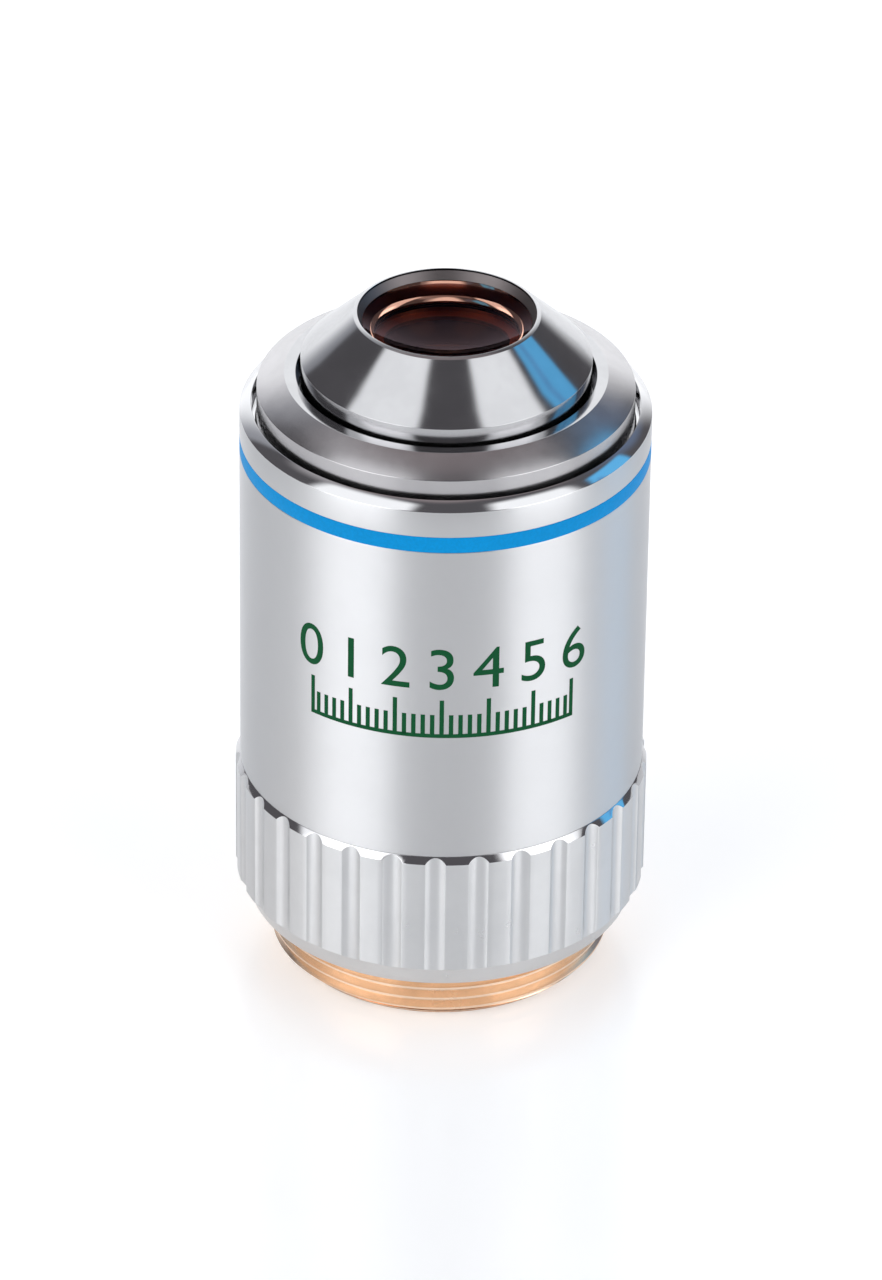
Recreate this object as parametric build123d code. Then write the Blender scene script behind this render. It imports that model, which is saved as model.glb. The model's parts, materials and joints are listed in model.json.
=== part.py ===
from build123d import *
import os
from math import copysign, sqrt

# Microscope objective, in millimetres. It stands on the end face of its screw thread, at height 0,
# with its axis on Z and its nose upwards. Radii and heights are worked out from the sizes below:
# outwards from the bore that holds the lens cells, and upwards from the thread.

# Clearances
RUN_FIT = 0.05          # radial play of a sliding fit
JOINT_FIT = 0.02        # radial play of two pieces screwed or fitted together
CEMENT = 0.02           # film between cemented glasses
SEAT_FIT = 0.01         # between a glass and its seat
END_ROOM = 0.15         # between a glass and the end of its cell

# Radial sizes, from the inside out
STACK_BORE_R = 8.2      # bore of the sleeve that holds the cells
TAIL_WALL = 1.0         # wall of the sleeve's slim rear end
BASE_WALL = 1.65        # wall of the mount's inner tube
GUIDE_STEP = 0.1        # the sleeve's guide over the mount's tube
BARREL_WALL = 0.95      # wall of the outer barrel along the guide
BARREL_SKIRT_WALL = 0.63    # wall of the barrel's skirt inside the grip ring
FLUTE_RISE = 0.03       # flute bottoms above the barrel
FLUTE_DEPTH = 0.23      # lands above the flute bottoms

# Screw thread, standard for objectives: 0.8 inch across, 36 threads to the inch
THREAD_DIAMETER = 20.32
THREAD_LENGTH = 3.5
LEAD_CHAMFER = 0.73
THREAD_RELIEF_DEPTH = 0.6
THREAD_RELIEF_WIDTH = 0.7

# Mount and grip ring
LEDGE_RISE = 1.0        # the inner ledge above the shoulder
TAIL_GAP = 0.5          # between the sleeve's end and the ledge when pushed right in
TRAVEL = 2.0            # how far the nose can be pushed in
GRIP_HEIGHT = 9.25
GRIP_FLOOR = 4.5        # height of the ring's slim-bored lower part
GRIP_CHAMFER_DROP = 0.42
GRIP_BEVEL_HEIGHT = 1.25
GRIP_BEVEL_WIDTH = 0.5
GRIP_LAND_BREAK = 0.2
FLUTE_COUNT = 30
FLUTE_CUTTER_R = 1.0
FLUTE_TURN = -1.15      # degrees from the front to the first flute
TUBE_RISE = 1.25        # the mount's inner tube above the grip ring
TUBE_BREAK = 0.2

# Outer barrel
MOUTH_WIDTH = 0.26      # from the guide bore out to the mouth's inner edge
MOUTH_DEPTH = 1.2
MOUTH_CHAMFER_DROP = 0.48
BAND_DROP = 2.14        # from the barrel's top to the colour band
BAND_WIDTH = 1.0
BAND_DEPTH = 0.12

# Return spring and guide screw
WASHER_THICK = 0.4
SPRING_LENGTH = 6.6     # as fitted, with the nose out
SPRING_WIRE = 0.7
SPRING_CLEAR = 0.5      # between the spring and the sleeve inside it
SPRING_TURNS = 4.5
GUIDE_SCREW_R = 0.75
GUIDE_SCREW_RISE = 1.85     # above the sleeve's rear end
GUIDE_SCREW_SINK = 0.15     # its outer end inside the tube's outer face
SCREWDRIVER_SLOT = 0.25
SCREWDRIVER_DEPTH = 0.4

# Nose sleeve
GUIDE_RELIEF_DEPTH = 0.2
GUIDE_LAND = 3.0        # length of each of its two guiding lands
RING_REVEAL = 1.02      # the nose ring's edge above the barrel
RING_CONE_DROP = 0.9
RING_FLAT = 0.67        # width of the ring's flat rim
RECESS_GAP = 0.26       # round the nose cone's skirt
RECESS_DEPTH = 2.0
CELL_BREAK = 0.2        # chamfer on cells and sleeve ends

# Nose cone
SHANK_SHOULDER = 0.26   # the cone's skirt outside its shank
RING_STEP = 1.0         # the cone's lower edge above the ring's rim
NOSE_CONE_DROP = 2.84
RIM_WIDTH = 0.24
RIM_DROP = 0.1
RIM_WALL = 0.13
BEVEL_WIDTH = 0.27
BEVEL_DROP = 0.5
FRONT_SEAT_RISE = 5.27  # the front lens's seat above the cone's rear end
FRONT_LEDGE = 0.5       # thickness of that seat, ahead of the bore's flare
FLARE_WIDTH = 1.3       # how much wider the bore is at the cone's rear end

# Glasses, from the nose to the rear, and the walls of the cells round them. A curve above zero
# bulges towards the nose, one below zero towards the rear. A thickness is a glass's thinnest part.
FRONT_LENS_R = 4.9
FRONT_LENS_CURVES = (-9.5, -7.5)
FRONT_LENS_THICK = (2.6,)
SECOND_CELL_WALL = 2.16
SECOND_LENS_CURVES = (-28.0, -11.0)
SECOND_LENS_THICK = (1.4,)
DOUBLET_CELL_WALL = 1.96
DOUBLET_CURVES = (24.0, -15.0, -45.0)
DOUBLET_THICK = (0.8, 1.0)
TRIPLET_CELL_WALL = 1.96
TRIPLET_CURVES = (22.0, -17.0, 17.0, -30.0)
TRIPLET_THICK = (0.8, 0.9, 0.8)
PHASE_CELL_WALL = 2.16
PHASE_PLATE_THICK = 1.0
PHASE_RING_R = 3.0
PHASE_RING_WIDTH = 0.8
PHASE_RING_THICK = 0.05
REAR_CELL_WALL = 3.16
REAR_LENS_CURVES = (16.0, -14.0, 8.0)
REAR_LENS_THICK = (0.8, 0.9)
SEAT_WIDTH = 0.6        # width of the ledge under each glass
LEDGE_THICK = 0.5       # thinnest ledge under a glass
STACK_SPACER_LENGTH = 1.4
REAR_SPACER_LENGTH = 1.63
SPACER_WALL = 1.6
RETAINER_LENGTH = 1.4
RETAINER_WALL = 2.4
SPANNER_SLOT_WIDTH = 1.0
SPANNER_SLOT_DEPTH = 0.6

# Radii that follow
tail_r = STACK_BORE_R + TAIL_WALL
base_bore_r = tail_r + RUN_FIT
base_tube_r = base_bore_r + BASE_WALL
guide_r = base_tube_r + GUIDE_STEP
barrel_bore_r = guide_r + RUN_FIT
barrel_r = barrel_bore_r + BARREL_WALL
tube_socket_r = base_tube_r + JOINT_FIT
skirt_r = tube_socket_r + BARREL_SKIRT_WALL
skirt_socket_r = skirt_r + JOINT_FIT
flute_r = barrel_r + FLUTE_RISE
grip_r = flute_r + FLUTE_DEPTH
thread_r = THREAD_DIAMETER / 2
cell_r = STACK_BORE_R - JOINT_FIT
cone_skirt_r = STACK_BORE_R + SHANK_SHOULDER
recess_r = cone_skirt_r + RECESS_GAP
rim_inner_r = FRONT_LENS_R + JOINT_FIT + BEVEL_WIDTH

# Heights that follow, up to the foot of the lens stack
shoulder_z = THREAD_LENGTH
ledge_z = shoulder_z + LEDGE_RISE
tail_z = ledge_z + TAIL_GAP + TRAVEL
grip_floor_z = shoulder_z + GRIP_FLOOR
grip_top_z = shoulder_z + GRIP_HEIGHT
tube_top_z = grip_top_z + TUBE_RISE
spring_low_z = tube_top_z + WASHER_THICK
spring_high_z = spring_low_z + SPRING_LENGTH
guide_screw_z = tail_z + GUIDE_SCREW_RISE
stack_z = tail_z + RETAINER_LENGTH


def turned(*points):
    """Solid of revolution about Z from the (radius, height) points of its half section."""
    outline = Polyline(*[(r, 0, z) for r, z in points], close=True)
    return revolve(make_face(outline), axis=Axis.Z)


def ring(inner, outer, low, high):
    """Plain ring between two heights."""
    return turned((inner, low), (outer, low), (outer, high), (inner, high))


def sag(curve, r):
    """How far a curved face has dropped at a radius, below its middle."""
    return copysign(abs(curve) - sqrt(curve**2 - r**2), curve)


def face_line(curve, middle_z, radius):
    """Half section of a glass's curved face, from the axis to its edge."""
    points = [(r, 0, middle_z - sag(curve, r)) for r in (0, radius / 2, radius)]
    return ThreePointArc(*points)


def glass(top_curve, bottom_curve, radius, top_z, bottom_z):
    """One lens, from the heights of the middles of its two faces."""
    top = face_line(top_curve, top_z, radius)
    bottom = face_line(bottom_curve, bottom_z, radius)
    axis_line = Line(bottom @ 0, top @ 0)
    edge = Line(top @ 1, bottom @ 1)
    return revolve(make_face([axis_line, top, edge, bottom]), axis=Axis.Z)


def glasses_on_seat(curves, thicknesses, radius, seat_z):
    """Lenses from front to rear, the last one on a seat, with the heights of the first one's front
    face at its middle and at its edge."""
    last = curves[-1]
    touching_r = radius - SEAT_WIDTH if last < 0 else radius
    bottom_z = seat_z + SEAT_FIT + sag(last, touching_r)
    lenses = []
    for top_curve, bottom_curve, thinnest in reversed(list(zip(curves, curves[1:], thicknesses))):
        bulge = sag(top_curve, radius) - sag(bottom_curve, radius)
        top_z = bottom_z + thinnest + max(0, bulge)
        lenses.insert(0, glass(top_curve, bottom_curve, radius, top_z, bottom_z))
        bottom_z = top_z + CEMENT
    return lenses, top_z, top_z - sag(curves[0], radius)


def cell(wall, low, seat, high):
    """Turned cell with a bored seat for its glasses and broken outer edges."""
    bore = cell_r - wall
    aperture = bore - JOINT_FIT - SEAT_WIDTH
    return turned(
        (aperture, low), (cell_r - CELL_BREAK, low), (cell_r, low + CELL_BREAK),
        (cell_r, high - CELL_BREAK), (cell_r - CELL_BREAK, high), (bore, high),
        (bore, seat), (aperture, seat),
    )


def lens_group(curves, thicknesses, wall, low):
    """A cell and its lenses, worked up from the cell's lower face, and the cell's top height."""
    radius = cell_r - wall - JOINT_FIT
    drop = max(0, -sag(curves[-1], radius - SEAT_WIDTH))
    seat = low + max(LEDGE_THICK, drop + END_ROOM)
    lenses, middle_z, edge_z = glasses_on_seat(curves, thicknesses, radius, seat)
    high = max(middle_z, edge_z) + END_ROOM
    return cell(wall, low, seat, high), lenses, high


def make_stack_retainer():
    body = ring(cell_r - RETAINER_WALL, cell_r, tail_z, stack_z)
    slot = Box(2 * STACK_BORE_R, SPANNER_SLOT_WIDTH, 2 * SPANNER_SLOT_DEPTH)
    return body - Pos(0, 0, tail_z) * slot


def make_phase_group(low):
    seat = low + LEDGE_THICK
    plate_low = seat + SEAT_FIT
    plate_high = plate_low + PHASE_PLATE_THICK
    film_high = plate_high + PHASE_RING_THICK
    high = film_high + END_ROOM
    plate_r = cell_r - PHASE_CELL_WALL - JOINT_FIT
    plate = Pos(0, 0, plate_low) * extrude(Circle(plate_r), PHASE_PLATE_THICK)
    film = ring(PHASE_RING_R - PHASE_RING_WIDTH, PHASE_RING_R, plate_high, film_high)
    return cell(PHASE_CELL_WALL, low, seat, high), plate, film, high


def make_mount_base():
    relief_r = thread_r - THREAD_RELIEF_DEPTH
    relief_z = shoulder_z - THREAD_RELIEF_WIDTH
    body = turned(
        (STACK_BORE_R, 0), (thread_r - LEAD_CHAMFER, 0), (thread_r, LEAD_CHAMFER),
        (thread_r, relief_z), (relief_r, relief_z), (relief_r, shoulder_z),
        (base_tube_r, shoulder_z), (base_tube_r, tube_top_z - TUBE_BREAK),
        (base_tube_r - TUBE_BREAK, tube_top_z), (base_bore_r, tube_top_z),
        (base_bore_r, ledge_z), (STACK_BORE_R, ledge_z),
    )
    high = guide_screw_z + GUIDE_SCREW_R + RUN_FIT
    low = guide_screw_z - TRAVEL - GUIDE_SCREW_R - RUN_FIT
    middle = Plane(origin=(0, 0, (low + high) / 2), x_dir=(0, 0, 1), z_dir=(0, 1, 0))
    slot = extrude(middle * SlotOverall(high - low, 2 * (GUIDE_SCREW_R + RUN_FIT)), barrel_r)
    return body - slot


def make_grip_ring():
    bevel_z = shoulder_z + GRIP_BEVEL_HEIGHT
    body = turned(
        (tube_socket_r, shoulder_z), (barrel_r - GRIP_BEVEL_WIDTH, shoulder_z), (barrel_r, bevel_z),
        (grip_r, bevel_z + GRIP_LAND_BREAK), (grip_r, grip_top_z - GRIP_CHAMFER_DROP),
        (barrel_r, grip_top_z), (skirt_socket_r, grip_top_z),
        (skirt_socket_r, grip_floor_z), (tube_socket_r, grip_floor_z),
    )
    cutter = extrude(Circle(FLUTE_CUTTER_R), GRIP_HEIGHT)
    cutter = Pos(0, -(flute_r + FLUTE_CUTTER_R), bevel_z) * cutter
    pitch = 360 / FLUTE_COUNT
    flutes = [Rot(0, 0, FLUTE_TURN + pitch * index) * cutter for index in range(FLUTE_COUNT)]
    return body - flutes


def make_outer_barrel():
    mouth_r = barrel_bore_r + MOUTH_WIDTH
    band_high = barrel_top_z - BAND_DROP
    band_low = band_high - BAND_WIDTH
    return turned(
        (tube_socket_r, grip_floor_z), (skirt_r, grip_floor_z), (skirt_r, grip_top_z),
        (barrel_r, grip_top_z), (barrel_r, band_low), (barrel_r - BAND_DEPTH, band_low),
        (barrel_r - BAND_DEPTH, band_high), (barrel_r, band_high),
        (barrel_r, barrel_top_z - MOUTH_CHAMFER_DROP), (mouth_r, barrel_top_z),
        (mouth_r, barrel_top_z - MOUTH_DEPTH), (barrel_bore_r, barrel_top_z - MOUTH_DEPTH),
        (barrel_bore_r, tube_top_z), (tube_socket_r, tube_top_z),
    )


def make_colour_ring():
    high = barrel_top_z - BAND_DROP
    return ring(barrel_r - BAND_DEPTH, barrel_r, high - BAND_WIDTH, high)


def make_spring_washer():
    return ring(base_bore_r, guide_r, tube_top_z, spring_low_z)


def make_return_spring():
    wire_r = SPRING_WIRE / 2
    mean_r = tail_r + SPRING_CLEAR + wire_r
    rise = SPRING_LENGTH - SPRING_WIRE / 2
    coil = Helix(rise / SPRING_TURNS, rise, mean_r, center=(0, 0, spring_low_z + SPRING_WIRE / 4))
    start = Plane(origin=coil @ 0, z_dir=coil % 0)
    wound = sweep(start * Circle(wire_r), path=coil)
    return wound & Pos(0, 0, spring_low_z) * extrude(Circle(barrel_bore_r), SPRING_LENGTH)


def make_nose_sleeve():
    ring_edge_z = ring_top_z - RING_CONE_DROP
    relief_r = guide_r - GUIDE_RELIEF_DEPTH
    relief_low = spring_high_z + GUIDE_LAND
    relief_high = barrel_top_z - MOUTH_DEPTH - GUIDE_LAND
    body = turned(
        (STACK_BORE_R, tail_z), (tail_r - CELL_BREAK, tail_z), (tail_r, tail_z + CELL_BREAK),
        (tail_r, spring_high_z), (guide_r, spring_high_z), (guide_r, relief_low),
        (relief_r, relief_low), (relief_r, relief_high), (guide_r, relief_high),
        (guide_r, ring_edge_z), (recess_r + RING_FLAT, ring_top_z), (recess_r, ring_top_z),
        (recess_r, cone_seat_z), (STACK_BORE_R, cone_seat_z),
    )
    hole = Plane(origin=(0, 0, guide_screw_z), z_dir=(0, 1, 0))
    return body - extrude(hole * Circle(GUIDE_SCREW_R + JOINT_FIT), barrel_r)


def make_guide_screw():
    inner = STACK_BORE_R + JOINT_FIT
    outer = base_tube_r - GUIDE_SCREW_SINK
    start = Plane(origin=(0, inner, guide_screw_z), z_dir=(0, 1, 0))
    body = extrude(start * Circle(GUIDE_SCREW_R), outer - inner)
    groove = Box(2 * GUIDE_SCREW_R, 2 * SCREWDRIVER_DEPTH, SCREWDRIVER_SLOT)
    return body - Pos(0, outer, guide_screw_z) * groove


def make_front_cell():
    bore = FRONT_LENS_R + JOINT_FIT
    aperture = FRONT_LENS_R - SEAT_WIDTH
    rim_outer_r = rim_inner_r + RIM_WIDTH
    return turned(
        (aperture + FLARE_WIDTH, front_low_z), (cell_r - CELL_BREAK, front_low_z),
        (cell_r, front_low_z + CELL_BREAK), (cell_r, cone_seat_z), (cone_skirt_r, cone_seat_z),
        (cone_skirt_r, cone_low_z), (rim_outer_r, tip_z - RIM_DROP), (rim_inner_r, tip_z),
        (rim_inner_r, tip_z - RIM_WALL), (bore, lens_edge_z), (bore, front_seat_z),
        (aperture, front_seat_z), (aperture, front_seat_z - FRONT_LEDGE),
    )


# The lens stack, from the retaining ring up to the nose cone
rear_cell, rear_glasses, z = lens_group(REAR_LENS_CURVES, REAR_LENS_THICK, REAR_CELL_WALL, stack_z)
rear_spacer = ring(cell_r - SPACER_WALL, cell_r, z, z + REAR_SPACER_LENGTH)
phase_cell, phase_plate, phase_ring, z = make_phase_group(z + REAR_SPACER_LENGTH)
stack_spacer = ring(cell_r - SPACER_WALL, cell_r, z, z + STACK_SPACER_LENGTH)
z += STACK_SPACER_LENGTH
triplet_cell, triplet_glasses, z = lens_group(TRIPLET_CURVES, TRIPLET_THICK, TRIPLET_CELL_WALL, z)
doublet_cell, doublet_glasses, z = lens_group(DOUBLET_CURVES, DOUBLET_THICK, DOUBLET_CELL_WALL, z)
second_cell, second_glasses, front_low_z = lens_group(
    SECOND_LENS_CURVES, SECOND_LENS_THICK, SECOND_CELL_WALL, z
)
front_seat_z = front_low_z + FRONT_SEAT_RISE
front_glasses, _, lens_edge_z = glasses_on_seat(
    FRONT_LENS_CURVES, FRONT_LENS_THICK, FRONT_LENS_R, front_seat_z
)

# Heights that follow from the stack, down from the nose's rim to the barrel's top
tip_z = lens_edge_z + BEVEL_DROP + RIM_WALL
cone_low_z = tip_z - RIM_DROP - NOSE_CONE_DROP
ring_top_z = cone_low_z - RING_STEP
cone_seat_z = ring_top_z - RECESS_DEPTH
barrel_top_z = ring_top_z - RING_CONE_DROP - RING_REVEAL

pieces = {
    "mount_base": make_mount_base(),
    "grip_ring": make_grip_ring(),
    "outer_barrel": make_outer_barrel(),
    "colour_ring": make_colour_ring(),
    "spring_washer": make_spring_washer(),
    "return_spring": make_return_spring(),
    "nose_sleeve": make_nose_sleeve(),
    "guide_screw": make_guide_screw(),
    "front_cell": make_front_cell(),
    "front_lens": front_glasses[0],
    "second_cell": second_cell,
    "second_lens": second_glasses[0],
    "doublet_cell": doublet_cell,
    "doublet_front_lens": doublet_glasses[0],
    "doublet_rear_lens": doublet_glasses[1],
    "triplet_cell": triplet_cell,
    "triplet_front_lens": triplet_glasses[0],
    "triplet_middle_lens": triplet_glasses[1],
    "triplet_rear_lens": triplet_glasses[2],
    "stack_spacer": stack_spacer,
    "phase_cell": phase_cell,
    "phase_plate": phase_plate,
    "phase_ring": phase_ring,
    "rear_spacer": rear_spacer,
    "rear_cell": rear_cell,
    "rear_front_lens": rear_glasses[0],
    "rear_back_lens": rear_glasses[1],
    "stack_retainer": make_stack_retainer(),
}

os.makedirs("parts", exist_ok=True)
for name, piece in pieces.items():
    export_step(piece, f"parts/{name}.step")
print("nose rim", round(tip_z, 3), "barrel top", round(barrel_top_z, 3), "shank", round(front_low_z, 3))
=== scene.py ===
import json
from math import cos, pi, radians, sin, tan

import bmesh
import bpy
import numpy as np
from mathutils import Matrix, Vector


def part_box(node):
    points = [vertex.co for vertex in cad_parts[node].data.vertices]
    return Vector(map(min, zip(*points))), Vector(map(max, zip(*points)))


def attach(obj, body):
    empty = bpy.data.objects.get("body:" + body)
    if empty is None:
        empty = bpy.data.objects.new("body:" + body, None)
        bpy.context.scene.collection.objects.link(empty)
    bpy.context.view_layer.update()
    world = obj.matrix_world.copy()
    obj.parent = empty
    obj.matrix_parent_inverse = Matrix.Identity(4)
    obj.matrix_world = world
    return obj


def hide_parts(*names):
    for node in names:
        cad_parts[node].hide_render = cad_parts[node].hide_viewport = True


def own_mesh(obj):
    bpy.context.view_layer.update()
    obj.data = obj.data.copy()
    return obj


# A microscope objective standing on its thread, nose up. Lengths are in metres. Every turned piece
# is spun again from the half section of its CAD node, with its edges rounded off.
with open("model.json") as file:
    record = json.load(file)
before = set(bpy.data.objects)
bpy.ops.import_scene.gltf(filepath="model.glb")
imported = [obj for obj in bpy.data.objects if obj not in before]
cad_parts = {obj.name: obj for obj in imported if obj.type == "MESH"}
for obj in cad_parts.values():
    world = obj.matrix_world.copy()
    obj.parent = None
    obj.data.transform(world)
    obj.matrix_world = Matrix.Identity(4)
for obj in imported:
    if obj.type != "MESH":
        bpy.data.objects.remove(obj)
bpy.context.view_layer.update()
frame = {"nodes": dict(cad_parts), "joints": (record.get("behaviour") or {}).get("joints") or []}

MM = 0.001

# View of the photograph
IMAGE_HEIGHT = 1280
FOCAL_PIXELS = 7597.65
SENSOR = 36.0
CAMERA_DISTANCE = 449.683 * MM
CAMERA_ELEVATION = radians(31.796)
CAMERA_ROLL = radians(0.769)
CAMERA_TARGET = Vector((-0.101 * MM, 0, 20.228 * MM))
CLIP_NEAR = 0.01
CLIP_FAR = 20

# Turned pieces
COLUMNS = 256
INNER_COLUMNS = 128
ROUND_STEPS = 3
ARC_STEPS = 32
SEAM_TOLERANCE = 0.002 * MM
SEAM_DIGITS = 7
NO_LENGTH = 1e-9
MERGE_DISTANCE = 1e-7
SMOOTH_BELOW = radians(40)
CURVE_BELOW = radians(8)
SHARPEST_TURN = radians(150)
EDGE_SHARE = 0.45
METAL_EDGE = 0.05 * MM
FINE_EDGE = 0.03 * MM
GLASS_EDGE = 0.04 * MM
FLUSH_EDGE = FINE_EDGE / 3

# Flutes of the grip ring
FLUTE_COUNT = 30
FLUTE_CUTTER_R = 1.0 * MM
FLUTE_RISE = 0.03 * MM
FLUTE_TURN = radians(-1.15)
FLUTE_STEPS = 10
LAND_STEPS = 3

# Thread of the mount
THREAD_PITCH = 25.4 * MM / 36
THREAD_DEPTH = 0.42 * MM
THREAD_FLAT = 0.09
THREAD_TURN = 0.35
THREAD_STEPS = 3

# Return spring and the guide screw's slot
SPRING_TURNS = 4.5
SPRING_WIRE_R = 0.35 * MM
SPRING_STEPS = 40
SPRING_SIDES = 12
SLOT_STEPS = 24
SLOT_CLEARANCE = 0.05 * MM
HOLE_CLEARANCE = 0.02 * MM

# Printed scale on the barrel
SCALE_NUMBERS = 6
SCALE_WIDTH = 16.4 * MM
SCALE_BASE_Z = 21.0 * MM
SCALE_LINE = 0.26 * MM
LONG_TICK = 2.3 * MM
SHORT_TICK = 1.3 * MM
TICKS_PER_NUMBER = 5
NUMBER_SIZE = 3.9 * MM
NUMBER_STEPS = 8
NUMBER_GAP = 0.75 * MM
INK_RISE = 0.006 * MM
INK_SINK = 0.02 * MM
BEND_STEP = 0.25 * MM

# Where finishes change: radii, and distances from the ends of a piece
MOUTH_DROP = 0.5 * MM
WALL_SKIN = 0.05 * MM
GRIP_CHAMFER_DROP = 0.43 * MM
RING_FLAT_R = 9.41 * MM
RING_FLAT_DROP = 0.05 * MM
BEVEL_OUTER_R = 5.2 * MM
RIM_DROP = 0.16 * MM
SHANK_LENGTH = 3 * MM
LENS_TOP_GAP = 0.02 * MM
LACQUER_DROP = 0.1 * MM
LACQUER_RISE = 0.5 * MM

# Sockets of the Mix node where it mixes colours
MIX_FACTOR, MIX_FIRST, MIX_SECOND, MIX_RESULT = 0, 6, 7, 2

# Grain of the surfaces: patches per millimetre, depths, and the stretch of the noise that is used
PATCHES_PER_MM = 0.35
GRAIN_PER_MM = 6
DUST_PER_MM = 9
FLOOR_GRAIN_PER_MM = 0.2
MARK_DEPTH = 0.004 * MM
GRAIN_DEPTH = 0.002 * MM
NOISE_RANGE = (0.3, 0.7)
CLOUD_RANGE = (0.35, 0.65)
DUST_RANGE = (0.62, 0.75)
DUST_ROUGHNESS = 0.02
ACROSS_THE_MARKS = 0.25
ENAMEL_SHADE = 0.9
ENAMEL_BUMP = 0.4

# Coating of the glasses
COATING_INDEX = 1.38
COATING_TINT = (0.42, 0.38, 0.5)

# Floor
FLOOR_HALF = 1.5
FLOOR_BASE = 0.8
FLOOR_GLOSS = 0.8
FLOOR_ROUGHNESS = (0.23, 0.27)
FLOOR_GLOW = 0.28
FLOOR_LIFT = 0.08

# Studio: panels painted over one another. Each has its corners as (azimuth, elevation), the softness
# of its edges, and its colour.
AMBIENT = (0.125, 0.12, 0.13)
BEHIND = [
    ([(-132, -5), (-133, 50), (-150, 55), (-150, -5)], 0.04, (0.42, 0.43, 0.47)),
    ([(144, 42), (124, 50), (134, 26), (146, 20)], 0.08, (0.18, 0.23, 0.34)),
    ([(-142, -5), (-147, 42), (-170, 60), (170, 60), (152, 42), (149, -5)], 0.17, (1.5, 1.52, 1.55)),
]
OVERHEAD = [
    ([(-125, 42), (-104, 60), (-100, 86), (170, 60), (-170, 60), (-136, 42)], 0.10, (0.52, 0.50, 0.52)),
    ([(-100, 74), (-60, 84), (60, 84), (104, 74), (116, 56), (160, 60), (-160, 60), (-116, 62)], 0.08,
     (0.36, 0.31, 0.32)),
]
SOFT_BOXES = [
    ([(-25, -3), (-27, 60), (-50, 80), (-110, 59), (-74, 4)], 0.05, (1.45, 1.47, 1.5)),
    ([(34, -3), (36, 58), (66, 76), (107, 57), (75, 4)], 0.05, (1.45, 1.47, 1.5)),
    ([(-28, -3), (-30, 36), (-68, 36), (-66, -3)], 0.12, (3.0, 3.0, 3.05)),
    ([(36, -3), (38, 36), (74, 36), (70, -3)], 0.12, (2.8, 2.8, 2.85)),
]
BLUE_PANEL = [
    ([(94, 0), (99, 40), (112, 49), (131, 37), (120, 21), (108, 0)], 0.03, (0.18, 0.68, 1.2)),
    ([(101, 8), (107, 43), (111, 43), (105, 8)], 0.03, (0.17, 0.45, 0.85)),
]
PANELS = BEHIND + OVERHEAD + SOFT_BOXES + BLUE_PANEL

barrel_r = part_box("outer_barrel")[1].x
barrel_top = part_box("outer_barrel")[1].z
grip_low, grip_high = (corner.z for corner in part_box("grip_ring"))
ring_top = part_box("nose_sleeve")[1].z
cone_low, tip_z = (corner.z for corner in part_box("front_cell"))
lens_low, lens_high = (corner.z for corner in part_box("front_lens"))
nose_travel = frame["joints"][0]["range_m"][1]
flute_centre_r = barrel_r + FLUTE_RISE + FLUTE_CUTTER_R


def direction(azimuth, elevation):
    """Unit vector from degrees; azimuth 0 is the camera's side, and it grows to the right."""
    turn, rise = radians(azimuth), radians(elevation)
    return Vector((sin(turn) * cos(rise), -cos(turn) * cos(rise), sin(rise)))


class Graph:
    """A node tree, with short calls for the nodes used here."""

    def __init__(self, tree):
        self.tree = tree
        tree.nodes.clear()

    def put(self, socket, value):
        if isinstance(value, bpy.types.NodeSocket):
            self.tree.links.new(value, socket)
        else:
            socket.default_value = value

    def node(self, kind, inputs=None, **settings):
        node = self.tree.nodes.new("ShaderNode" + kind)
        for name, value in settings.items():
            setattr(node, name, value)
        for name, value in (inputs or {}).items():
            self.put(node.inputs[name], value)
        return node

    def math(self, operation, *values):
        node = self.node("Math", operation=operation)
        for socket, value in zip(node.inputs, values):
            self.put(socket, value)
        return node.outputs[0]

    def vector(self, operation, *values, output=0):
        node = self.node("VectorMath", operation=operation)
        for socket, value in zip(node.inputs, values):
            self.put(socket, value)
        return node.outputs[output]

    def span(self, value, low, high, to_low=0.0, to_high=1.0, steps="SMOOTHSTEP"):
        """A value brought from one range to another, and held at its ends."""
        node = self.node("MapRange", interpolation_type=steps)
        for socket, number in zip(node.inputs, (value, low, high, to_low, to_high)):
            self.put(socket, number)
        return node.outputs[0]

    def mix(self, factor, first, second):
        node = self.node("Mix", data_type="RGBA")
        self.put(node.inputs[MIX_FACTOR], factor)
        self.put(node.inputs[MIX_FIRST], first)
        self.put(node.inputs[MIX_SECOND], second)
        return node.outputs[MIX_RESULT]

    def noise(self, vector, scale, detail=2.0, roughness=0.5):
        inputs = {"Vector": vector, "Scale": scale, "Detail": detail, "Roughness": roughness}
        return self.node("TexNoise", inputs).outputs["Fac"]


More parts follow.
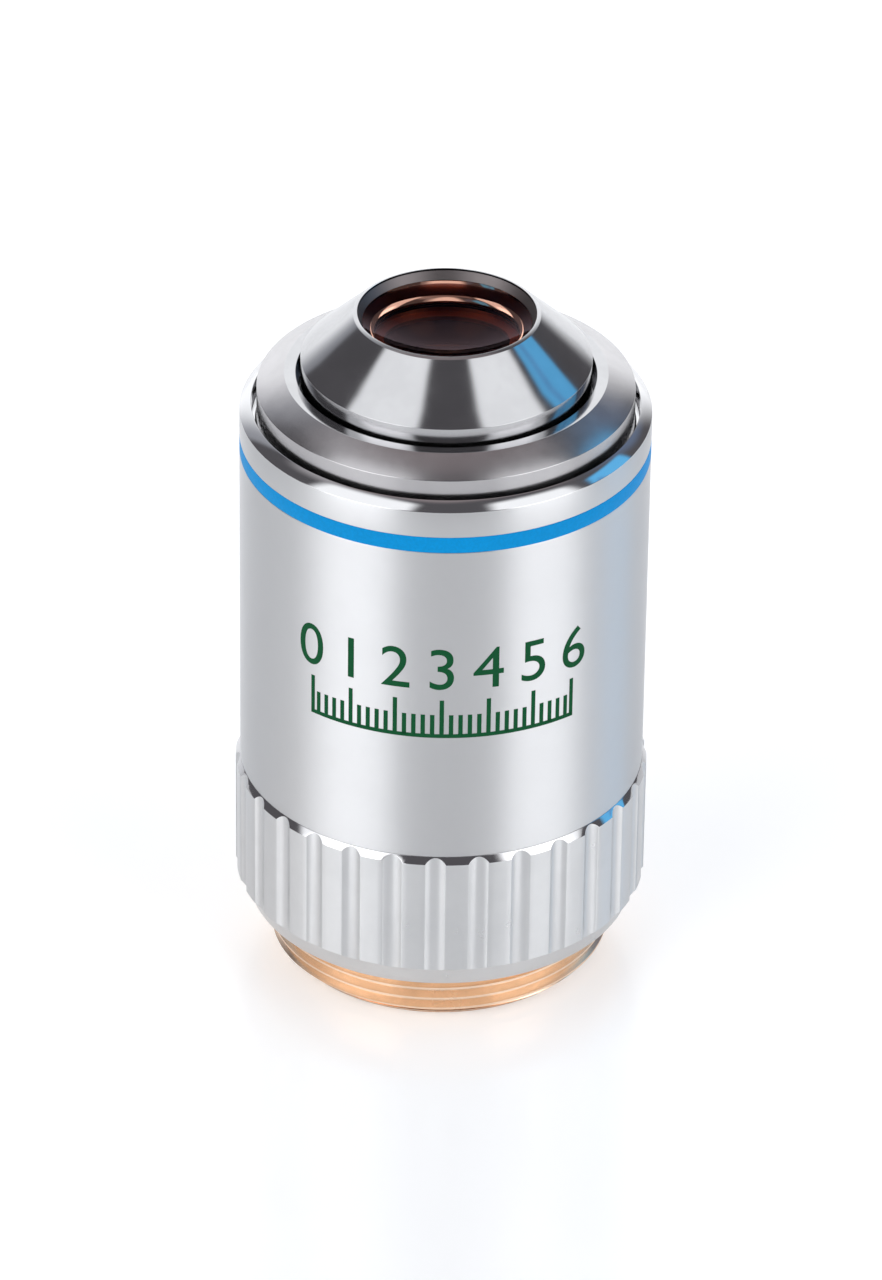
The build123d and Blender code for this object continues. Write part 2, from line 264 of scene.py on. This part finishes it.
def half_section(node):
    """Outline of a turned CAD node as radius + height*1j, read on its +X side. It runs anticlockwise,
    and a piece that is solid on its axis starts and ends there."""
    mesh = frame["nodes"][node].data
    found = {}
    for vertex in mesh.vertices:
        x, y, z = vertex.co
        if abs(y) < SEAM_TOLERANCE and x > -SEAM_TOLERANCE:
            found[vertex.index] = complex(round(max(x, 0), SEAM_DIGITS), round(z, SEAM_DIGITS))
    links = {point: set() for point in found.values()}
    for edge in mesh.edges:
        ends = [found.get(index) for index in edge.vertices]
        if None not in ends and ends[0] != ends[1]:
            links[ends[0]].add(ends[1])
            links[ends[1]].add(ends[0])
    loose = sorted((p for p in links if len(links[p]) < 2 and p.real), key=lambda p: (p.imag, p.real))
    while loose:
        point = loose.pop(0)
        level = loose and abs(loose[0].imag - point.imag) < SEAM_TOLERANCE
        partner = loose.pop(0) if level else complex(0, point.imag)
        links[point].add(partner)
        links.setdefault(partner, set()).add(point)
    ends = [point for point in links if len(links[point]) == 1]
    path = [min(ends, key=lambda p: p.imag) if ends else next(iter(links))]
    while True:
        onward = [p for p in links[path[-1]] if p not in path]
        if not onward:
            break
        path.append(onward[0])
    area = sum((a.conjugate() * b).imag for a, b in zip(path, path[1:] + path[:1]))
    return path if area > 0 else path[::-1]


def turn_at(before, corner, after):
    """How much an outline turns at a corner, in radians."""
    return abs(np.angle((after - corner) / (corner - before)))


def true_arcs(path):
    """The same open outline, with each curved face as fine points on its circle."""
    corners = [0]
    for index in range(1, len(path) - 1):
        if turn_at(*path[index - 1:index + 2]) > SMOOTH_BELOW:
            corners.append(index)
    corners.append(len(path) - 1)
    result = []
    for start, end in zip(corners, corners[1:]):
        run = path[start:end + 1]
        result += arc_through(run[0], run[len(run) // 2], run[-1]) if len(run) > 2 else run
    return result


def arc_through(first, middle, last):
    """Points along the circle through three points."""
    w = (last - first) / (middle - first)
    centre = first + (middle - first) * (w - abs(w)**2) / (2j * w.imag)
    sweep = np.angle((last - centre) / (first - centre))
    return [centre + (first - centre) * np.exp(1j * sweep * step / ARC_STEPS)
            for step in range(ARC_STEPS + 1)]


def rounded(path, edge, closed):
    """The outline with its corners rounded off. The fine points of a curve stay as they are."""
    result = []
    for index, corner in enumerate(path):
        before = path[index - 1]
        after = path[(index + 1) % len(path)]
        at_end = not closed and index in (0, len(path) - 1)
        if at_end or min(abs(corner - before), abs(after - corner)) < NO_LENGTH:
            result += [corner] * (ROUND_STEPS + 1)
            continue
        turn = turn_at(before, corner, after)
        if turn < CURVE_BELOW:
            result.append(corner)
            continue
        reach = edge * tan(min(turn, SHARPEST_TURN) / 2)
        reach = min(reach, EDGE_SHARE * abs(corner - before), EDGE_SHARE * abs(after - corner))
        start = corner + (before - corner) / abs(before - corner) * reach
        end = corner + (after - corner) / abs(after - corner) * reach
        for step in range(ROUND_STEPS + 1):
            s = step / ROUND_STEPS
            result.append((1 - s)**2 * start + 2 * s * (1 - s) * corner + s**2 * end)
    return result


def spun_mesh(name, columns, closed, finish_at=None):
    """Mesh through the outlines of all columns, a list of (angle from +X, outline). Where a piece has
    several finishes, finish_at picks one by the radius and height of a face."""
    outlines = np.array([outline for _, outline in columns])
    angles = np.array([angle for angle, _ in columns])
    count, length = outlines.shape
    x = outlines.real * np.cos(angles)[:, None]
    y = outlines.real * np.sin(angles)[:, None]
    points = np.stack([x, y, outlines.imag], axis=2).reshape(-1, 3)
    faces, finishes = [], []
    for row in range(length if closed else length - 1):
        above = (row + 1) % length
        middle = (outlines[0, row] + outlines[0, above]) / 2
        finish = finish_at(middle.real, middle.imag) if finish_at else 0
        for column in range(count):
            beside = (column + 1) % count
            faces.append((column * length + row, beside * length + row,
                          beside * length + above, column * length + above))
            finishes.append(finish)
    mesh = bpy.data.meshes.new(name)
    mesh.from_pydata(points.tolist(), [], faces)
    mesh.polygons.foreach_set("material_index", finishes)
    shape = bmesh.new()
    shape.from_mesh(mesh)
    bmesh.ops.remove_doubles(shape, verts=shape.verts, dist=MERGE_DISTANCE)
    shape.to_mesh(mesh)
    shape.free()
    return mesh


def add_piece(name, mesh, body, materials, replaced=()):
    """Object of the part: its finishes, the CAD nodes that it stands for and the body it rides on."""
    piece = bpy.data.objects.new(name, mesh)
    bpy.context.scene.collection.objects.link(piece)
    for material in materials:
        mesh.materials.append(material)
    mesh.polygons.foreach_set("use_smooth", [True] * len(mesh.polygons))
    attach(piece, body)
    if replaced:
        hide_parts(*replaced)
    return piece


def even_normals(piece):
    """Smooth shading that keeps flat faces flat beside their rounded edges."""
    piece.data.set_sharp_from_angle(angle=SMOOTH_BELOW)
    modifier = piece.modifiers.new("even_normals", "WEIGHTED_NORMAL")
    modifier.keep_sharp = True


def cut(piece, cutter):
    """Takes the cutter's space out of the piece, and deletes the cutter."""
    modifier = piece.modifiers.new("cut", "BOOLEAN")
    modifier.operation = "DIFFERENCE"
    modifier.object = cutter
    modifier.solver = "EXACT"
    bpy.context.view_layer.update()
    graph = bpy.context.evaluated_depsgraph_get()
    mesh = bpy.data.meshes.new_from_object(piece.evaluated_get(graph), depsgraph=graph)
    piece.modifiers.remove(modifier)
    piece.data = mesh
    bpy.data.objects.remove(cutter)


def rounded_slot(low_z, high_z, radius, depth):
    """Cutter along +Y from the axis: a slot on end, or a round hole where both heights are one."""
    shape = bmesh.new()
    ring = []
    for index in range(2 * SLOT_STEPS):
        angle = pi * (index + 0.5) / SLOT_STEPS
        centre = high_z if sin(angle) > 0 else low_z
        ring.append(shape.verts.new((radius * cos(angle), 0, centre + radius * sin(angle))))
    face = shape.faces.new(ring)
    moved = bmesh.ops.extrude_face_region(shape, geom=[face])["geom"]
    bmesh.ops.translate(shape, vec=(0, depth, 0),
                        verts=[item for item in moved if isinstance(item, bmesh.types.BMVert)])
    bmesh.ops.recalc_face_normals(shape, faces=shape.faces)
    mesh = bpy.data.meshes.new("cutter")
    shape.to_mesh(mesh)
    shape.free()
    cutter = bpy.data.objects.new("cutter", mesh)
    bpy.context.scene.collection.objects.link(cutter)
    return cutter


def even_angles(count=COLUMNS):
    """Angles of columns that stand evenly round the axis."""
    return [2 * pi * index / count for index in range(count)]


def turned_piece(node, body, materials, edge, finish_at=None, columns=COLUMNS):
    """A turned piece in place of its CAD node."""
    path = half_section(node)
    solid = min(path, key=lambda p: p.real).real < SEAM_TOLERANCE
    if solid:
        path = true_arcs(path)
    outline = rounded(path, edge, closed=not solid)
    sides = [(angle, outline) for angle in even_angles(columns)]
    mesh = spun_mesh(node + "_turned", sides, not solid, finish_at)
    piece = add_piece(node + "_turned", mesh, body, materials, [node])
    even_normals(piece)
    return piece


def flute_radius(angle, land_r):
    """Radius of the fluted wall at an angle from the middle of a flute."""
    side = flute_centre_r * sin(angle)
    if abs(side) >= FLUTE_CUTTER_R:
        return land_r
    return min(land_r, flute_centre_r * cos(angle) - (FLUTE_CUTTER_R**2 - side**2)**0.5)


def fluted_column(path, limit):
    """The ring's outline with its wall brought in to a radius: the two outermost corners slide down
    the slopes beside them."""
    outer = max(point.real for point in path)
    result = list(path)
    for index, corner in enumerate(path):
        if outer - corner.real > SEAM_TOLERANCE:
            continue
        after = path[(index + 1) % len(path)]
        neighbour = after if outer - after.real > SEAM_TOLERANCE else path[index - 1]
        share = (limit - neighbour.real) / (outer - neighbour.real)
        result[index] = neighbour + (corner - neighbour) * share
    return result


def make_grip_ring(materials):
    """The grip ring, with its flutes running out on the slopes above and below."""
    path = half_section("grip_ring")
    land_r = max(point.real for point in path)
    squares = land_r**2 + flute_centre_r**2 - FLUTE_CUTTER_R**2
    half_flute = np.arccos(squares / (2 * land_r * flute_centre_r))
    half_pitch = pi / FLUTE_COUNT
    columns = []
    for flute in range(FLUTE_COUNT):
        middle = FLUTE_TURN + 2 * half_pitch * flute - pi / 2
        steps = [half_flute * step / FLUTE_STEPS for step in range(-FLUTE_STEPS, FLUTE_STEPS + 1)]
        land = 2 * (half_pitch - half_flute)
        steps += [half_flute + land * step / (LAND_STEPS + 1) for step in range(1, LAND_STEPS + 1)]
        for step in steps:
            column = fluted_column(path, flute_radius(step, land_r))
            columns.append((middle + step, rounded(column, METAL_EDGE, closed=True)))
    mesh = spun_mesh("grip_ring_turned", columns, True, grip_finish)
    piece = add_piece("grip_ring_turned", mesh, "barrel", materials, ["grip_ring"])
    even_normals(piece)


def thread_radius(z, turn, crest_r, end_r):
    """Radius of the screw thread at a height and a share of a turn, inside its lead chamfer."""
    phase = (z / THREAD_PITCH - turn) % 1
    from_crest = min(phase, 1 - phase)
    share = (from_crest - THREAD_FLAT) / (0.5 - 2 * THREAD_FLAT)
    return min(crest_r - THREAD_DEPTH * min(max(share, 0), 1), end_r + z)


def guide_hole():
    """Radius of the guide screw, and the height of its axis."""
    low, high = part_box("guide_screw")
    return (high.z - low.z) / 2, (high.z + low.z) / 2


def make_mount_base(material):
    """The brass mount, with its thread wound round in place of the plain cylinder."""
    path = half_section("mount_base")
    screw = [point for point in path if point.imag < grip_low - SEAM_TOLERANCE]
    crest_r = max(point.real for point in screw)
    crest = [point for point in screw if crest_r - point.real < SEAM_TOLERANCE]
    crest_low, relief_z = sorted(point.imag for point in crest)[:2]
    end_r = crest_r - crest_low
    first = min(path.index(point) for point in crest)
    before, after = path[:first], path[first + len(crest):]
    marks = [THREAD_FLAT, 0.5 - THREAD_FLAT, 0.5 + THREAD_FLAT, 1 - THREAD_FLAT, 1 + THREAD_FLAT]
    phases = []
    for low, high in zip(marks, marks[1:]):
        phases += [low + (high - low) * step / THREAD_STEPS for step in range(THREAD_STEPS)]
    turns = range(-2, int(relief_z / THREAD_PITCH) + 2)
    columns = []
    for angle in even_angles():
        turn = angle / (2 * pi) + THREAD_TURN
        heights = [(whole + phase + turn) * THREAD_PITCH for whole in turns for phase in phases]
        heights = [min(max(z, 0), relief_z) for z in heights]
        wound = [complex(thread_radius(z, turn, crest_r, end_r), z) for z in heights]
        columns.append((angle, before + wound + after))
    mesh = spun_mesh("mount_base_threaded", columns, True)
    piece = add_piece("mount_base_threaded", mesh, "barrel", [material], ["mount_base"])
    radius, middle = guide_hole()
    cut(piece, rounded_slot(middle - nose_travel, middle, radius + SLOT_CLEARANCE, barrel_r))
    even_normals(piece)


def make_nose_sleeve(materials):
    """The sliding sleeve, with the hole of its guide screw."""
    piece = turned_piece("nose_sleeve", "nose", materials, METAL_EDGE, nose_finish)
    piece.modifiers.clear()
    radius, middle = guide_hole()
    cut(piece, rounded_slot(middle, middle, radius + HOLE_CLEARANCE, barrel_r))
    even_normals(piece)


def make_return_spring(material):
    """Coil spring with its ends ground flat."""
    low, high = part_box("return_spring")
    mean_r = high.x - SPRING_WIRE_R
    start_z = low.z + SPRING_WIRE_R / 2
    rise = high.z - low.z - SPRING_WIRE_R
    count = int(SPRING_TURNS * SPRING_STEPS)
    points, faces = [], []
    for index in range(count + 1):
        angle = 2 * pi * SPRING_TURNS * index / count
        for side in range(SPRING_SIDES):
            around = 2 * pi * side / SPRING_SIDES
            r = mean_r + SPRING_WIRE_R * cos(around)
            z = start_z + rise * index / count + SPRING_WIRE_R * sin(around)
            points.append((r * cos(angle), r * sin(angle), min(max(z, low.z), high.z)))
    for index in range(count):
        for side in range(SPRING_SIDES):
            first = index * SPRING_SIDES
            beside = (side + 1) % SPRING_SIDES
            faces.append((first + side, first + SPRING_SIDES + side,
                          first + SPRING_SIDES + beside, first + beside))
    faces.append(tuple(range(SPRING_SIDES)))
    faces.append(tuple(count * SPRING_SIDES + side for side in reversed(range(SPRING_SIDES))))
    mesh = bpy.data.meshes.new("return_spring_coil")
    mesh.from_pydata(points, [], faces)
    piece = add_piece("return_spring_coil", mesh, "barrel", [material], ["return_spring"])
    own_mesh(piece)


def bend_round(shape):
    """Wraps flat work round the barrel: x runs to the right, y up and z outwards."""
    low = min(v.co.x for v in shape.verts)
    high = max(v.co.x for v in shape.verts)
    x = low + BEND_STEP
    while x < high:
        geometry = shape.verts[:] + shape.edges[:] + shape.faces[:]
        bmesh.ops.bisect_plane(shape, geom=geometry, plane_co=(x, 0, 0), plane_no=(1, 0, 0))
        x += BEND_STEP
    for vertex in shape.verts:
        angle = vertex.co.x / barrel_r
        r = barrel_r + vertex.co.z
        vertex.co = (r * sin(angle), -r * cos(angle), vertex.co.y)


def flat_bar(shape, left, right, low, high):
    """A thin printed bar, before it is bent."""
    box = bmesh.ops.create_cube(shape, size=1)["verts"]
    middle = Vector(((left + right) / 2, (low + high) / 2, (INK_RISE - INK_SINK) / 2))
    bmesh.ops.scale(shape, vec=(right - left, high - low, INK_RISE + INK_SINK), verts=box)
    bmesh.ops.translate(shape, vec=middle, verts=box)


def flat_number(shape, text, x, low):
    """A printed number, standing on a height, before it is bent."""
    curve = bpy.data.curves.new("number", "FONT")
    curve.body = text
    curve.align_x = "CENTER"
    curve.size = NUMBER_SIZE
    curve.resolution_u = NUMBER_STEPS
    curve.extrude = (INK_RISE + INK_SINK) / 2
    holder = bpy.data.objects.new("number", curve)
    bpy.context.scene.collection.objects.link(holder)
    bpy.context.view_layer.update()
    graph = bpy.context.evaluated_depsgraph_get()
    mesh = bpy.data.meshes.new_from_object(holder.evaluated_get(graph), depsgraph=graph)
    mesh.transform(Matrix.Translation((x, low, (INK_RISE - INK_SINK) / 2)))
    shape.from_mesh(mesh)
    bpy.data.objects.remove(holder)
    bpy.data.meshes.remove(mesh)


def make_scale(material):
    """A plain printed scale with numbers, in the place of the barrel's lettering."""
    shape = bmesh.new()
    half = SCALE_WIDTH / 2
    flat_bar(shape, -half, half, SCALE_BASE_Z, SCALE_BASE_Z + SCALE_LINE)
    count = SCALE_NUMBERS * TICKS_PER_NUMBER
    for tick in range(count + 1):
        x = -half + SCALE_WIDTH * tick / count
        numbered = tick % TICKS_PER_NUMBER == 0
        top = SCALE_BASE_Z + SCALE_LINE + (LONG_TICK if numbered else SHORT_TICK)
        left = min(max(x - SCALE_LINE / 2, -half), half - SCALE_LINE)
        flat_bar(shape, left, left + SCALE_LINE, SCALE_BASE_Z + SCALE_LINE / 2, top)
        if numbered:
            flat_number(shape, str(tick // TICKS_PER_NUMBER), x, top + NUMBER_GAP)
    bmesh.ops.remove_doubles(shape, verts=shape.verts, dist=MERGE_DISTANCE)
    bend_round(shape)
    mesh = bpy.data.meshes.new("barrel_scale")
    shape.to_mesh(mesh)
    shape.free()
    add_piece("barrel_scale", mesh, "barrel", [material])
    mesh.set_sharp_from_angle(angle=SMOOTH_BELOW)


def barrel_finish(radius, height):
    """1, polished, on its top chamfer and inside its mouth, and 0, satin, elsewhere."""
    return int(height > barrel_top - MOUTH_DROP or radius < barrel_r - WALL_SKIN)


def grip_finish(_, height):
    """1, polished, on the top chamfer, and 0, satin, elsewhere."""
    return int(height > grip_high - GRIP_CHAMFER_DROP)


def nose_finish(radius, height):
    """1, frosted, on the cone and the skirt of the front ring, and 0, polished, elsewhere."""
    return int(radius > RING_FLAT_R and height < ring_top - RING_FLAT_DROP)


def cone_finish(radius, height):
    """0, polished, outside; 3, matt, on the bevel inside the rim; 2, brown, round the lens; and
    1, black, elsewhere."""
    if radius > BEVEL_OUTER_R and height > cone_low + SHANK_LENGTH:
        return 0
    if lens_high + LENS_TOP_GAP < height < tip_z - RIM_DROP:
        return 3
    return 2 if lens_low + LACQUER_RISE < height < lens_high - LACQUER_DROP else 1


def new_material(name):
    """A new material, and the graph of its nodes."""
    material = bpy.data.materials.new(name)
    material.use_nodes = True
    return material, Graph(material.node_tree)


def finish_surface(graph, inputs, bump=None):
    """The surface shader, with an optional bump as the Bump node's inputs, joined to the output."""
    shader = graph.node("BsdfPrincipled", inputs)
    if bump:
        graph.put(shader.inputs["Normal"], graph.node("Bump", bump).outputs[0])
    output = graph.node("OutputMaterial")
    graph.put(output.inputs["Surface"], shader.outputs[0])


def around_axis(graph):
    """Position, radius and height, for marks that follow the turning."""
    position = graph.node("TexCoord").outputs["Object"]
    parts = graph.node("SeparateXYZ", {"Vector": position})
    flat = graph.node("CombineXYZ", {"X": parts.outputs[0], "Y": parts.outputs[1]}).outputs[0]
    radius = graph.vector("LENGTH", flat, output=1)
    return position, radius, parts.outputs[2]


def turning_marks(graph, radius, height, per_mm):
    """Fine rings left by the lathe, along the radius and the height."""
    place = graph.node("CombineXYZ", {"X": radius, "Y": height}).outputs[0]
    return graph.noise(place, per_mm / MM, detail=3.0, roughness=0.6)


def metal(name, colour, roughness, spread, anisotropy=0.0, marks=0.0, per_mm=12.0, cloud=0.0):
    """Turned metal: roughness that varies by a spread, faint rings, and clouding in its colour."""
    material, graph = new_material(name)
    position, radius, height = around_axis(graph)
    rings = turning_marks(graph, radius, height, per_mm)
    patches = graph.noise(position, PATCHES_PER_MM / MM, detail=4.0, roughness=0.6)
    rough = graph.span(patches, *NOISE_RANGE, roughness - spread, roughness + spread, "LINEAR")
    tint = (*colour, 1)
    if cloud:
        darker = [part * (1 - cloud) for part in colour]
        tint = graph.mix(graph.span(patches, *CLOUD_RANGE), (*darker, 1), tint)
    tangent = graph.node("Tangent", direction_type="RADIAL", axis="Z").outputs[0]
    inputs = {"Base Color": tint, "Metallic": 1.0, "Roughness": rough, "Anisotropic": anisotropy,
              "Anisotropic Rotation": ACROSS_THE_MARKS, "Tangent": tangent}
    finish_surface(graph, inputs, {"Height": rings, "Distance": MARK_DEPTH, "Strength": marks})
    return material


def enamel(name, colour, roughness, gloss=0.25):
    """Smooth printed or filled paint."""
    material, graph = new_material(name)
    position = graph.node("TexCoord").outputs["Object"]
    grain = graph.noise(position, GRAIN_PER_MM / MM, detail=3.0)
    darker = [part * ENAMEL_SHADE for part in colour]
    tint = graph.mix(graph.span(grain, *NOISE_RANGE), (*darker, 1), (*colour, 1))
    inputs = {"Base Color": tint, "Roughness": roughness, "Specular IOR Level": gloss}
    finish_surface(graph, inputs, {"Height": grain, "Distance": GRAIN_DEPTH, "Strength": ENAMEL_BUMP})
    return material


def glass(name, tint, index, coating):
    """Tinted glass with an anti-reflection coating, whose thickness is in nanometres. The tint is
    painted shade: it darkens what shows through the glass.
    """
    material, graph = new_material(name)
    position = graph.node("TexCoord").outputs["Object"]
    dust = graph.noise(position, DUST_PER_MM / MM)
    rough = graph.span(dust, *DUST_RANGE, 0.0, DUST_ROUGHNESS)
    inputs = {"Base Color": (*tint, 1), "Roughness": rough, "Transmission Weight": 1.0, "IOR": index,
              "Thin Film Thickness": coating, "Thin Film IOR": COATING_INDEX,
              "Specular Tint": (*COATING_TINT, 1)}
    finish_surface(graph, inputs)
    return material


def make_materials():
    """Every finish of the part, by a short name."""
    return {
        "satin": metal("satin_chrome", (0.67, 0.675, 0.683), 0.40, 0.02, anisotropy=0.8,
                       marks=0.10, per_mm=14, cloud=0.02),
        "grip": metal("grip_chrome", (0.66, 0.665, 0.67), 0.30, 0.03, anisotropy=0.6,
                      marks=0.12, cloud=0.04),
        "polished": metal("polished_chrome", (0.5, 0.5, 0.51), 0.13, 0.02, anisotropy=0.5,
                          marks=0.04, per_mm=16, cloud=0.06),
        "bright": metal("bright_chrome", (0.62, 0.62, 0.63), 0.07, 0.02, marks=0.03, per_mm=16),
        "frosted": metal("frosted_chrome", (0.5, 0.49, 0.5), 0.22, 0.03, anisotropy=0.4, marks=0.04,
                         cloud=0.08),
        "brass": metal("brass", (0.98, 0.74, 0.55), 0.23, 0.05, anisotropy=0.5, marks=0.12,
                       cloud=0.10),
        "brown": metal("brown_lacquer", (0.45, 0.2, 0.13), 0.4, 0.05, marks=0.2, cloud=0.1),
        "black": metal("black_anodised", (0.02, 0.02, 0.022), 0.35, 0.05, marks=0.2),
        "steel": metal("spring_steel", (0.55, 0.55, 0.56), 0.25, 0.05, marks=0.1),
        "bevel": metal("matt_bevel", (0.2, 0.18, 0.18), 0.5, 0.04, marks=0.1),
        "blue": enamel("blue_enamel", (0.0, 0.29, 0.68), 0.5, gloss=0.1),
        "green": enamel("green_ink", (0.004, 0.085, 0.028), 0.6, gloss=0.1),
        # Painted shade: the front glass is tinted brown and darkened. This stands in for the shade
        # inside the lens and gives its reflections a warm tone.
        "front_glass": glass("front_glass", (0.5, 0.27, 0.2), 1.6, 105.0),
        # Painted shade: the inner glasses are tinted nearly black. This stands in for the shade deep
        # inside the objective.
        "inner_glass_painted_shade": glass("inner_glass_painted_shade", (0.12, 0.1, 0.1), 1.55, 110.0),
        "film": enamel("phase_film", (0.03, 0.03, 0.03), 0.3),
    }


def panel_mask(graph, view, corners, soft):
    """One inside a shape that hangs before the object, and zero outside it."""
    ways = [direction(*corner) for corner in corners]
    inside = sum(ways, Vector())
    mask = 1.0
    for way, following in zip(ways, ways[1:] + ways[:1]):
        edge = way.cross(following).normalized()
        if edge.dot(inside) < 0:
            edge.negate()
        across = graph.vector("DOT_PRODUCT", view, edge, output=1)
        mask = graph.math("MULTIPLY", mask, graph.span(across, -soft, soft))
    return mask


def make_world():
    """Soft boxes and panels that light the object and show in its reflections. The view itself is
    white behind it."""
    world = bpy.data.worlds.new("studio")
    world.use_nodes = True
    bpy.context.scene.world = world
    graph = Graph(world.node_tree)
    view = graph.node("TexCoord").outputs["Generated"]
    colour = (*AMBIENT, 1)
    for corners, soft, tone in PANELS:
        colour = graph.mix(panel_mask(graph, view, corners, soft), colour, (*tone, 1))
    camera_ray = graph.node("LightPath").outputs["Is Camera Ray"]
    seen = graph.mix(camera_ray, colour, (1, 1, 1, 1))
    background = graph.node("Background", {"Color": seen, "Strength": 1.0})
    output = graph.node("OutputWorld")
    graph.put(output.inputs["Surface"], background.outputs[0])


def make_floor():
    """Large pale floor, a little glossy."""
    material, graph = new_material("pale_floor")
    position = graph.node("TexCoord").outputs["Object"]
    grain = graph.noise(position, FLOOR_GRAIN_PER_MM / MM)
    camera_ray = graph.node("LightPath").outputs["Is Camera Ray"]
    glow = graph.span(camera_ray, 0, 1, FLOOR_GLOW, FLOOR_GLOW + FLOOR_LIFT, "LINEAR")
    rough = graph.span(grain, *NOISE_RANGE, *FLOOR_ROUGHNESS)
    inputs = {"Base Color": (FLOOR_BASE, FLOOR_BASE, FLOOR_BASE, 1), "Roughness": rough,
              "Specular IOR Level": FLOOR_GLOSS, "Emission Color": (1, 1, 1, 1),
              "Emission Strength": glow}
    finish_surface(graph, inputs)
    mesh = bpy.data.meshes.new("floor")
    signs = [(-1, -1), (1, -1), (1, 1), (-1, 1)]
    mesh.from_pydata([(x * FLOOR_HALF, y * FLOOR_HALF, 0) for x, y in signs], [], [(0, 1, 2, 3)])
    mesh.materials.append(material)
    floor = bpy.data.objects.new("floor", mesh)
    bpy.context.scene.collection.objects.link(floor)


def make_camera():
    """Camera of the photograph, aimed at the middle of the object and rolled a little."""
    camera = bpy.data.cameras.new("camera")
    camera.sensor_width = SENSOR
    camera.lens = FOCAL_PIXELS / IMAGE_HEIGHT * SENSOR
    camera.clip_start = CLIP_NEAR
    camera.clip_end = CLIP_FAR
    holder = bpy.data.objects.new("camera", camera)
    bpy.context.scene.collection.objects.link(holder)
    ahead = Vector((0, cos(CAMERA_ELEVATION), -sin(CAMERA_ELEVATION)))
    right = Vector((1, 0, 0))
    up = right.cross(ahead)
    rolled_right = right * cos(CAMERA_ROLL) + up * sin(CAMERA_ROLL)
    rolled_up = up * cos(CAMERA_ROLL) - right * sin(CAMERA_ROLL)
    holder.matrix_world = Matrix.Translation(CAMERA_TARGET - ahead * CAMERA_DISTANCE) @ Matrix(
        (rolled_right, rolled_up, -ahead)).transposed().to_4x4()
    bpy.context.scene.camera = holder


def dress_node(node, material):
    """A CAD node that keeps its own mesh gets its finish."""
    mesh_slots = frame["nodes"][node].material_slots
    if not mesh_slots:
        frame["nodes"][node].data.materials.append(material)
    for slot in mesh_slots:
        slot.material = material


materials = make_materials()
make_world()
make_floor()
make_camera()

turned_piece("outer_barrel", "barrel", [materials["satin"], materials["bright"]],
             METAL_EDGE, barrel_finish)
make_grip_ring([materials["grip"], materials["bright"]])
make_mount_base(materials["brass"])
turned_piece("colour_ring", "barrel", [materials["blue"]], FLUSH_EDGE)
make_nose_sleeve([materials["polished"], materials["frosted"]])
turned_piece("front_cell", "nose",
             [materials["polished"], materials["black"], materials["brown"], materials["bevel"]],
             FINE_EDGE, cone_finish)
for node in ("second_cell", "doublet_cell", "triplet_cell", "phase_cell", "rear_cell",
             "stack_spacer", "rear_spacer"):
    turned_piece(node, "nose", [materials["black"]], FINE_EDGE, columns=INNER_COLUMNS)
turned_piece("front_lens", "nose", [materials["front_glass"]], GLASS_EDGE,
             columns=2 * COLUMNS)
for node in ("second_lens", "doublet_front_lens", "doublet_rear_lens", "triplet_front_lens",
             "triplet_middle_lens", "triplet_rear_lens"):
    turned_piece(node, "nose", [materials["inner_glass_painted_shade"]], GLASS_EDGE,
                 columns=INNER_COLUMNS)
for node in ("rear_front_lens", "rear_back_lens"):
    turned_piece(node, "nose", [materials["inner_glass_painted_shade"]], GLASS_EDGE,
                 columns=INNER_COLUMNS)
turned_piece("phase_plate", "nose", [materials["inner_glass_painted_shade"]], GLASS_EDGE)
turned_piece("phase_ring", "nose", [materials["film"]], FLUSH_EDGE)
turned_piece("spring_washer", "barrel", [materials["steel"]], FINE_EDGE)
make_return_spring(materials["steel"])
dress_node("guide_screw", materials["steel"])
dress_node("stack_retainer", materials["black"])
make_scale(materials["green"])

bpy.context.scene.view_settings.view_transform = "Standard"
